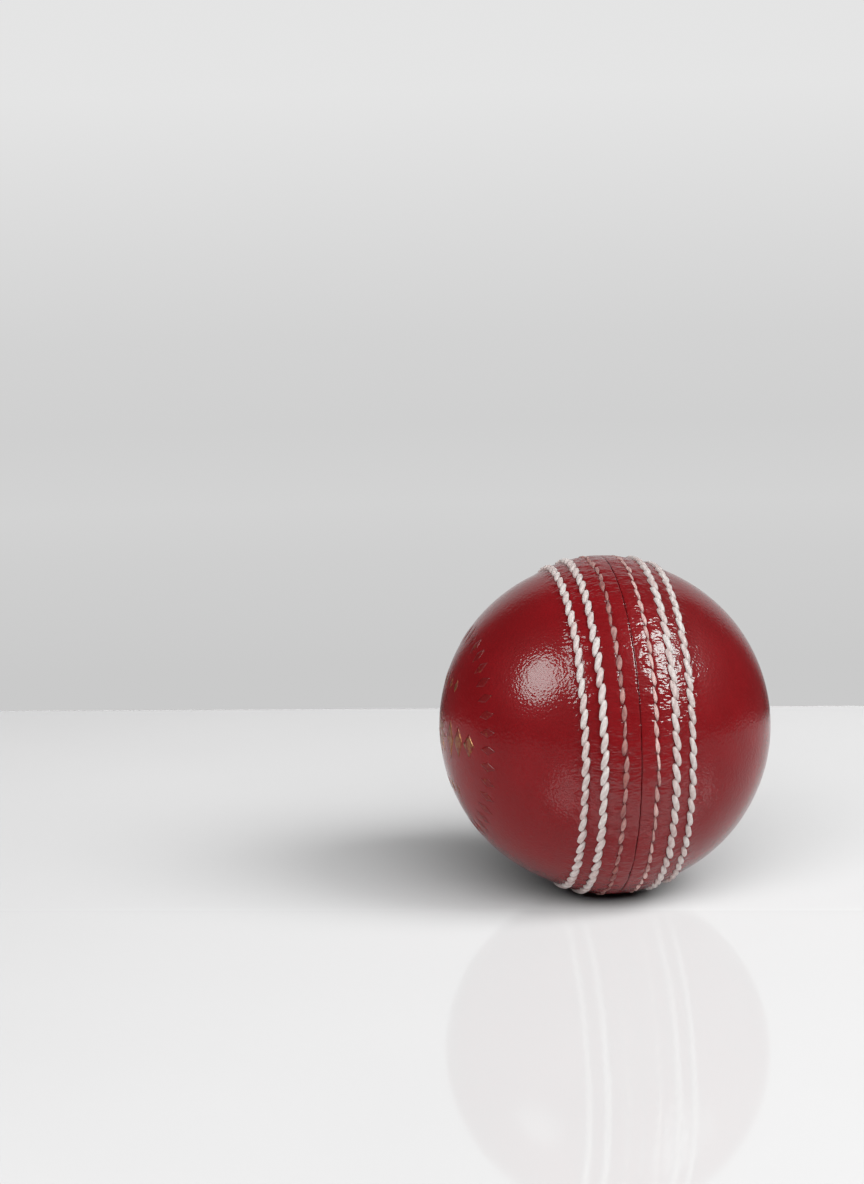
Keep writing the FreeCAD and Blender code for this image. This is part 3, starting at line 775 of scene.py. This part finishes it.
def plate(places, first, is_ring=False):
    """Closed thin plate over a grid of places, with its edge walls; a ring's columns join up."""
    rows, columns = places.shape[:2]
    count = rows * columns
    top = on_cheek(places, FOIL_TOP).reshape(-1, 3)
    foot = on_cheek(places, FOIL_FOOT).reshape(-1, 3)
    index = first + np.arange(count).reshape(rows, columns)
    if is_ring:
        index = np.concatenate([index, index[:, :1]], axis=1)
        rims = [index[0, :-1], index[-1, :0:-1]]
    else:
        rims = [np.concatenate([index[0, :-1], index[:-1, -1], index[-1, :0:-1], index[:0:-1, 0]])]
    quads = np.stack([index[:-1, :-1], index[1:, :-1], index[1:, 1:], index[:-1, 1:]],
                     axis=-1).reshape(-1, 4)
    faces = [quads, quads[:, ::-1] + count]
    for rim in rims:
        following = np.roll(rim, -1)
        faces.append(np.stack([rim, following, following + count, rim + count], axis=-1))
    return np.concatenate([top, foot]), np.concatenate(faces).tolist()


def lozenge(centre, width, height, angle=0.0):
    """Grid of places over a lozenge, turned about its centre."""
    step = np.linspace(-1.0, 1.0, LOZENGE_STEPS)
    first, second = np.meshgrid(step, step, indexing="ij")
    across = (first + second) / 2 * width / 2
    up = (first - second) / 2 * height / 2
    turned = np.stack([across * math.cos(angle) + up * math.sin(angle),
                       up * math.cos(angle) - across * math.sin(angle)], axis=-1)
    return turned + np.array(centre)


def star():
    """Ring of places from the star's eye out to its points."""
    corner = np.arange(2 * STAR_POINTS + 1)
    bearing = corner * math.pi / STAR_POINTS
    reach = np.where(corner % 2 == 0, STAR_RADIUS, STAR_WAIST)
    share = np.arange(len(corner[1:]) * STAR_EDGE_STEPS) / STAR_EDGE_STEPS
    outline = np.stack([np.interp(share, corner, reach * np.sin(bearing)),
                        np.interp(share, corner, reach * np.cos(bearing))], axis=-1)
    turn = share * math.pi / STAR_POINTS
    eye = np.stack([np.sin(turn), np.cos(turn)], axis=-1) * STAR_EYE
    out = np.linspace(0.0, 1.0, STAR_STEPS)[:, None, None]
    return eye + (outline - eye) * out


def lozenges():
    """Grids of places over all the lozenges: the ring, those beside the star, and the small ones."""
    grids = []
    for index in range(MARK_COUNT):
        angle = 2.0 * math.pi * index / MARK_COUNT
        centre = (MARK_RING_RADIUS * math.sin(angle), MARK_RING_RADIUS * math.cos(angle))
        grids.append(lozenge(centre, *MARK_SIZE, angle))
    for side in (-1, 1):
        for step, height in enumerate(LOZENGE_HEIGHTS):
            centre = (side * (LOZENGE_START + step * LOZENGE_SPACING), 0.0)
            grids.append(lozenge(centre, LOZENGE_WIDTH, height))
        for step in range(-2, 3):
            centre = (step * SMALL_SPACING, side * SMALL_ROW_HEIGHT)
            grids.append(lozenge(centre, *SMALL_SIZE))
    return grids


def foil(material):
    """The whole ornament as one piece of thin closed plates, marked where it is rubbed."""
    star_points, faces = plate(star(), 0, is_ring=True)
    points = [star_points]
    for places in lozenges():
        first = sum(len(part) for part in points)
        new_points, new_faces = plate(places, first)
        points.append(new_points)
        faces += new_faces
    points = np.concatenate(points)
    piece = mesh_piece("foil_ornament", points, faces, "foil_stamp", material)
    rubbed = np.hypot(points[:, 1], points[:, 2]) > RUBBED_RADIUS
    store(piece, "rubbed", rubbed.astype(float))


# --- Core ---------------------------------------------------------------------------------------

LAYERS = 5
LAYER_TURN = 0.6


def dress_core():
    """Materials for the hidden nucleus, cork and yarn, which keep their CAD shapes."""
    cork = cork_material("cork", CORK_LIGHT, CORK_DARK, 900.0)
    rubbery = cork_material("rubberised_cork", RUBBERY_LIGHT, RUBBERY_DARK, 700.0)
    dressing = {"nucleus": rubbery}
    for layer in range(1, LAYERS + 1):
        dressing[f"cork_layer_{layer}"] = cork
        yarn = yarn_material(f"wool_yarn_{layer}", LAYER_TURN * layer)
        dressing[f"yarn_winding_{layer}"] = yarn
    for node, material in dressing.items():
        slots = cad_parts[node].data.materials
        for index in range(len(slots)):
            slots[index] = material


# --- Studio -------------------------------------------------------------------------------------
# Lengths are in metres, the lens in millimetres, angles in degrees. The lights' directions are in
# the camera's axes: right, up and towards the camera. The table lies square to the camera, and its
# distances run back from the ball's centre.

CAMERA = {"azimuth": -11.96, "elevation": 11.64, "distance": 0.5263, "lens": 72.97}
CAMERA_TURN = {"left": 4.08, "up": 3.17, "roll": -0.33}
TABLE_BACK = 0.204
TABLE_FRONT = -0.45
TABLE_SIDE = 0.65
# Painted light: the table's tone is lighter towards the back, and a step lighter on the glossy front.
PAINTED_TABLE_TONES = (0.170, 0.200)
PAINTED_TONE_START = -0.20
GLOSSY_EDGE = -0.018
EDGE_BLUR = 0.001
GLOSSY_PAINTED_LIFT = 0.010
MATT_SHINE = 0.02
GLOSSY_SHINE = 0.14
SMUDGE = 0.003
SOFTBOXES = {
    "left_softbox": {"direction": (-0.69, 0.51, 0.51), "angle": 13.5, "radiance": 13.2,
                     "shine": 20.5, "lights_table": False},
    "right_softbox": {"direction": (0.62, 0.65, 0.44), "angle": 14.6, "radiance": 18.0,
                      "shine": 42.0, "lights_table": True},
}
SOFTBOX_DISTANCE = 0.9
SHINE_ADVANCE = 0.01
SHINE_TINT = (0.75, 1.0, 0.98)
FILL_DIRECTION = (-0.30, -0.08, 0.95)
FILL_SIZE = (0.6, 0.6)
FILL_POWER = 3.2
TABLE_LIGHT_DIRECTION = (0.22, 0.60, 0.77)
TABLE_LIGHT_DISTANCE = 1.4
TABLE_LIGHT_SIZE = (3.4, 1.0)
TABLE_LIGHT_POWER = 195.0
ROOM_LEVEL = 0.05
BACKDROP_LEVEL = 0.66
BACKDROP_LIFT = 20.0
BACKDROP_EDGE = (0.80, 0.92)
SKY_RANGE = (-0.2, 0.1)
SKY_LEVELS = ((0.08, 0.59), (0.23, 0.625), (0.30, 0.65), (0.41, 0.63), (0.53, 0.65), (0.64, 0.69),
              (0.86, 0.78))


def studio_camera():
    """Camera, turned so that the ball stands low and to the right. Gives back how it is turned."""
    data = bpy.data.cameras.new("camera")
    data.lens = CAMERA["lens"]
    data.clip_start = 0.05
    data.clip_end = 20.0
    camera = bpy.data.objects.new("camera", data)
    bpy.context.scene.collection.objects.link(camera)
    azimuth = math.radians(CAMERA["azimuth"])
    elevation = math.radians(CAMERA["elevation"])
    back = Vector((math.sin(azimuth) * math.cos(elevation),
                   -math.cos(azimuth) * math.cos(elevation), math.sin(elevation)))
    turn = Quaternion((0, 1, 0), math.radians(CAMERA_TURN["left"]))
    turn @= Quaternion((1, 0, 0), math.radians(CAMERA_TURN["up"]))
    turn @= Quaternion((0, 0, 1), math.radians(CAMERA_TURN["roll"]))
    camera.location = back * CAMERA["distance"]
    camera.rotation_mode = "QUATERNION"
    camera.rotation_quaternion = (-back).to_track_quat("-Z", "Y") @ turn
    bpy.context.scene.camera = camera
    return camera.rotation_quaternion


def area_light(name, shape, size, power, towards, distance):
    """Area light that faces the ball from a direction."""
    data = bpy.data.lights.new(name, "AREA")
    data.shape = shape
    data.size, data.size_y = size
    data.energy = power
    light = bpy.data.objects.new(name, data)
    bpy.context.scene.collection.objects.link(light)
    light.location = towards * distance
    light.rotation_mode = "QUATERNION"
    light.rotation_quaternion = towards.to_track_quat("Z", "Y")
    light.visible_camera = False
    return light


def light_only(light, table, state):
    """The light falls on the table alone (INCLUDE), or on everything but it (EXCLUDE)."""
    group = bpy.data.collections.new(light.name + "_receivers")
    group.objects.link(table)
    group.collection_objects[0].light_linking.link_state = state
    light.light_linking.receiver_collection = group


def studio_lights(camera_turn, table):
    """Two round softboxes, placed in the camera's axes, a fill, and a long light for the table.

    Each softbox is a pair of discs, one just before the other: for the highlight and the colour.
    """
    for name, box in SOFTBOXES.items():
        radius = SOFTBOX_DISTANCE * math.tan(math.radians(box["angle"]))
        towards = (camera_turn @ Vector(box["direction"])).normalized()
        watts = math.pi * math.pi * radius ** 2
        size = (2.0 * radius, 2.0 * radius)
        soft = area_light(name, "DISK", size, box["radiance"] * watts, towards, SOFTBOX_DISTANCE)
        soft.visible_glossy = False
        shine = area_light(name + "_shine", "DISK", size, box["shine"] * watts, towards,
                           SOFTBOX_DISTANCE - SHINE_ADVANCE)
        shine.data.color = SHINE_TINT
        shine.visible_diffuse = False
        light_only(shine, table, "EXCLUDE")
        if not box["lights_table"]:
            light_only(soft, table, "EXCLUDE")
    towards = (camera_turn @ Vector(FILL_DIRECTION)).normalized()
    fill = area_light("fill", "RECTANGLE", FILL_SIZE, FILL_POWER, towards, SOFTBOX_DISTANCE)
    fill.visible_glossy = False
    light_only(fill, table, "EXCLUDE")
    towards = (camera_turn @ Vector(TABLE_LIGHT_DIRECTION)).normalized()
    long = area_light("table_light", "RECTANGLE", TABLE_LIGHT_SIZE, TABLE_LIGHT_POWER, towards,
                      TABLE_LIGHT_DISTANCE)
    light_only(long, table, "INCLUDE")


def floor_material():
    """White table: almost matt behind, and glossy from just in front of where the ball stands."""
    nodes = Nodes("table_white")
    place = nodes.add("ShaderNodeSeparateXYZ")
    nodes.link(nodes.position(), place.inputs["Vector"])
    depth = place.outputs["Y"]
    front = nodes.ramp(depth, GLOSSY_EDGE + EDGE_BLUR, GLOSSY_EDGE - EDGE_BLUR)
    # Painted light: the tone grows lighter towards the back, with a lighter step on the glossy front.
    back = nodes.ramp(depth, PAINTED_TONE_START, TABLE_BACK, *PAINTED_TABLE_TONES)
    tone = nodes.maths("ADD", back, nodes.maths("MULTIPLY", front, GLOSSY_PAINTED_LIFT))
    cloudy = nodes.noise(nodes.position(), scale=6.0, detail=3.0)
    smudge = nodes.ramp(cloudy, low=0.3, high=0.7, low_out=-SMUDGE, high_out=SMUDGE)
    color = nodes.maths("ADD", tone, smudge)
    matt = nodes.add("ShaderNodeBsdfDiffuse")
    gloss = nodes.add("ShaderNodeBsdfGlossy")
    gloss.inputs["Roughness"].default_value = 0.04
    blend = nodes.add("ShaderNodeMixShader")
    nodes.link(color, matt.inputs["Color"])
    shine = nodes.ramp(front, low=0.0, high=1.0, low_out=MATT_SHINE, high_out=GLOSSY_SHINE)
    nodes.link(shine, blend.inputs["Fac"])
    nodes.link(matt.outputs["BSDF"], blend.inputs[1])
    nodes.link(gloss.outputs["BSDF"], blend.inputs[2])
    output = nodes.tree.nodes["Material Output"]
    nodes.link(blend.outputs["Shader"], output.inputs["Surface"])
    nodes.tree.nodes.remove(nodes.shader)
    return nodes.material


def studio_floor(height):
    """Table top whose back edge lies square to the camera's direction."""
    corners = [(-TABLE_SIDE, TABLE_FRONT, height), (TABLE_SIDE, TABLE_FRONT, height),
               (TABLE_SIDE, TABLE_BACK, height), (-TABLE_SIDE, TABLE_BACK, height)]
    mesh = bpy.data.meshes.new("table_top")
    mesh.from_pydata(corners, [], [(0, 1, 2, 3)])
    table = bpy.data.objects.new("table_top", mesh)
    bpy.context.scene.collection.objects.link(table)
    table.rotation_euler.z = math.radians(CAMERA["azimuth"])
    mesh.materials.append(floor_material())
    return table


def sky_color(tree, place):
    """What the camera sees round the table: pale grey, in soft bands from low to high."""
    split = tree.nodes.new("ShaderNodeSeparateXYZ")
    climb = tree.nodes.new("ShaderNodeMapRange")
    set_range(climb, SKY_RANGE, (0.0, 1.0))
    ramp = tree.nodes.new("ShaderNodeValToRGB")
    while len(ramp.color_ramp.elements) < len(SKY_LEVELS):
        ramp.color_ramp.elements.new(1.0)
    for stop, (height, level) in zip(ramp.color_ramp.elements, SKY_LEVELS):
        stop.position = height
        stop.color = (level, level, level, 1.0)
    tree.links.new(place, split.inputs["Vector"])
    tree.links.new(split.outputs["Z"], climb.inputs["Value"])
    tree.links.new(climb.outputs["Result"], ramp.inputs["Fac"])
    return ramp.outputs["Color"]


def room_level(tree, place):
    """What the ball gets from round it: a bright patch on its far side, and a dim room elsewhere."""
    azimuth = math.radians(CAMERA["azimuth"])
    lift = math.radians(BACKDROP_LIFT)
    facing = tree.nodes.new("ShaderNodeVectorMath")
    facing.operation = "DOT_PRODUCT"
    facing.inputs[1].default_value = (-math.sin(azimuth) * math.cos(lift),
                                      math.cos(azimuth) * math.cos(lift), math.sin(lift))
    lit = tree.nodes.new("ShaderNodeMapRange")
    lit.interpolation_type = "SMOOTHSTEP"
    set_range(lit, BACKDROP_EDGE, (ROOM_LEVEL, BACKDROP_LEVEL))
    tree.links.new(place, facing.inputs[0])
    tree.links.new(facing.outputs["Value"], lit.inputs["Value"])
    return lit.outputs["Result"]


def studio_surroundings():
    """Pale grey all round to look at; a bright backdrop and a dim room to light the ball."""
    world = bpy.data.worlds.new("studio")
    bpy.context.scene.world = world
    world.use_nodes = True
    tree = world.node_tree
    place = tree.nodes.new("ShaderNodeTexCoord").outputs["Generated"]
    path = tree.nodes.new("ShaderNodeLightPath")
    shown = tree.nodes.new("ShaderNodeMix")
    shown.data_type = "RGBA"
    tree.links.new(path.outputs["Is Camera Ray"], shown.inputs["Factor"])
    tree.links.new(room_level(tree, place), shown.inputs[MIX_FIRST])
    tree.links.new(sky_color(tree, place), shown.inputs[MIX_SECOND])
    tree.links.new(shown.outputs[MIX_RESULT], tree.nodes["Background"].inputs["Color"])


# --- Build --------------------------------------------------------------------------------------

def build():
    """The covers, the six threads, the foil and the core's materials."""
    leather = leather_material()
    leather_cup("leather_cup_left", -1, leather)
    leather_cup("leather_cup_right", 1, leather)
    waxed = thread_material("linen_thread", WHITE_THREAD, WHITE_THREAD_STAINED,
                            WHITE_THREAD_SHADE_AND_MOTTLE)
    stained = thread_material("stained_thread", CLOSING_THREAD, CLOSING_THREAD_STAINED,
                              CLOSING_THREAD_SHADE_AND_MOTTLE)
    threads = {"closing": stained, "middle": waxed, "outer": waxed}
    for number, (kind, material) in enumerate(threads.items()):
        stitched_thread(f"{kind}_thread_a", kind, 0, SEEDS["thread_a"] + number, material)
        stitched_thread(f"{kind}_thread_b", kind, 1, SEEDS["thread_b"] + number, material)
    foil(foil_material())
    dress_core()


build()
bpy.context.view_layer.update()
low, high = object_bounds()
studio_lights(studio_camera(), studio_floor(low.z))
studio_surroundings()
bpy.context.scene.view_settings.view_transform = "Standard"
